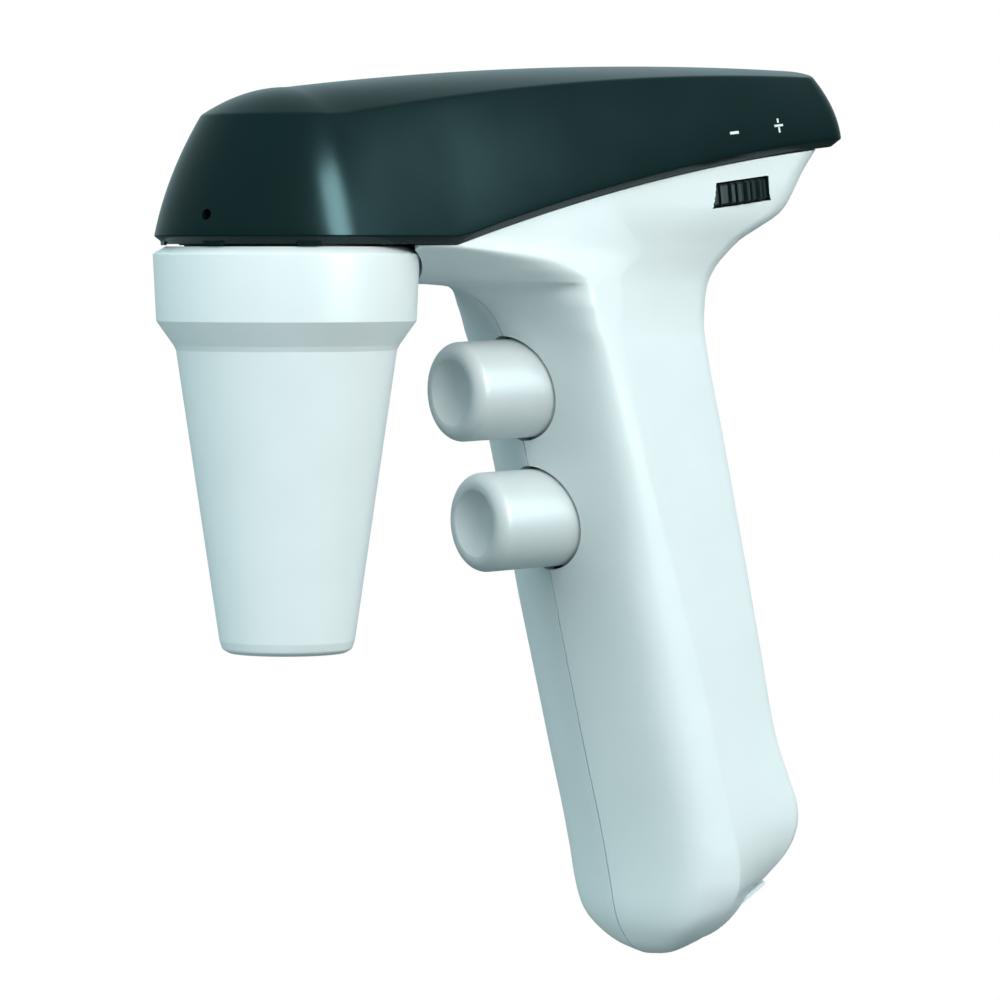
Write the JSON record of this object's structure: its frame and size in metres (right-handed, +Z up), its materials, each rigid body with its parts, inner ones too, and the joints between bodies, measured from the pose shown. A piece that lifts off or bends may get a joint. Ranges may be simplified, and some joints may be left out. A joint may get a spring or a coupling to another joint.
{
  "type": "motorized pipette controller",
  "caption": "Pistol-shaped motorized pipette controller with a screw-on nose, finger buttons that draw and release liquid, and a ribbed speed wheel.",
  "frame": {"origin": "on the pipette axis, at the lower edge of the nose collar's straight side", "axes": "+Z up along the pipette axis, +X rearward from nose to handle, +Y to the user's right"},
  "size_m": [0.1333, 0.0454, 0.1594],
  "materials": {
    "handle_white": "moulded, fine satin grain",
    "nose_white": "moulded, satin",
    "cover_dark": "moulded, satin gloss",
    "black": "moulded, matt",
    "grey": "moulded, matt",
    "steel": "bright",
    "brass": "turned",
    "silicone": "soft, satin",
    "clear": "pale, translucent in life",
    "board_green": "solder resist",
    "foam": "open foam",
    "rubber": "moulded",
    "cell_blue": "shrink sleeve"
  },
  "bodies": {
    "handle": {"aspirate_spring": "steel", "aspirate_switch": "black", "battery_cell_left": "cell_blue", "battery_cell_right": "cell_blue", "battery_cradle": "black", "cell_contact_lower": "steel", "cell_contact_upper": "steel", "charge_bezel": "handle_white", "charge_socket": "black", "check_valve": "grey", "circuit_board": "board_green", "connecting_rod": "grey", "dispense_spring": "steel", "dispense_switch": "black", "exhaust_filter": "foam", "frame_screw_1": "steel", "frame_screw_2": "steel", "frame_screw_3": "steel", "handle_shell_left": "handle_white", "handle_shell_right": "handle_white", "nose_gasket": "rubber", "nose_receptacle": "black", "nose_tube": "clear", "pressure_tube": "clear", "pump_cradle": "foam", "pump_diaphragm": "rubber", "pump_frame": "grey", "pump_head": "grey", "pump_housing": "black", "pump_motor": "steel", "shell_screw_1": "steel", "shell_screw_2": "steel", "shell_screw_3": "steel", "shell_screw_4": "steel", "speed_potentiometer": "grey", "suction_tube": "clear", "top_cover": "cover_dark", "valve_block": "grey"},
    "aspirate_key": {"aspirate_button": "nose_white", "aspirate_stem": "steel"},
    "dispense_key": {"dispense_button": "nose_white", "dispense_stem": "steel"},
    "wheel": {"speed_wheel": "black"},
    "crank": {"motor_shaft": "steel", "drive_eccentric": "brass"},
    "nose_insert": {"silicone_adapter": "silicone", "membrane_filter": "clear"},
    "nose": {"adapter_housing": "nose_white"}
  },
  "joints": [
    {"name": "aspirate_press", "type": "slide", "parent": "handle", "child": "aspirate_key", "axis": [0.9994, 0, 0.0349], "range_m": [0, 0.004], "stiffness_N_per_m": 600, "springref_m": -0.002, "deforming": ["aspirate_spring"]},
    {"name": "dispense_press", "type": "slide", "parent": "handle", "child": "dispense_key", "axis": [0.9994, 0, 0.0349], "range_m": [0, 0.004], "stiffness_N_per_m": 600, "springref_m": -0.002, "deforming": ["dispense_spring"]},
    {"name": "speed_turn", "type": "hinge", "parent": "handle", "child": "wheel", "pos_m": [0.0846, 0, 0.0222], "axis": [-0.1184, 0, 0.993], "range_deg": [-135, 135]},
    {"name": "pump_spin", "type": "hinge", "parent": "handle", "child": "crank", "pos_m": [0.028, 0, 0.0267], "axis": [1, 0, 0], "continuous": true},
    {"name": "nose_feed", "type": "slide", "parent": "handle", "child": "nose_insert", "axis": [0, 0, -1], "range_m": [0, 0.0101]},
    {"name": "nose_turn", "type": "hinge", "parent": "nose_insert", "child": "nose", "pos_m": [0, 0, 0], "axis": [0, 0, -1], "range_deg": [0, 720]}
  ],
  "couplings": [
    {"joint": "nose_feed", "follows": "nose_turn", "m_per_rad": 0.00079577}
  ]
}
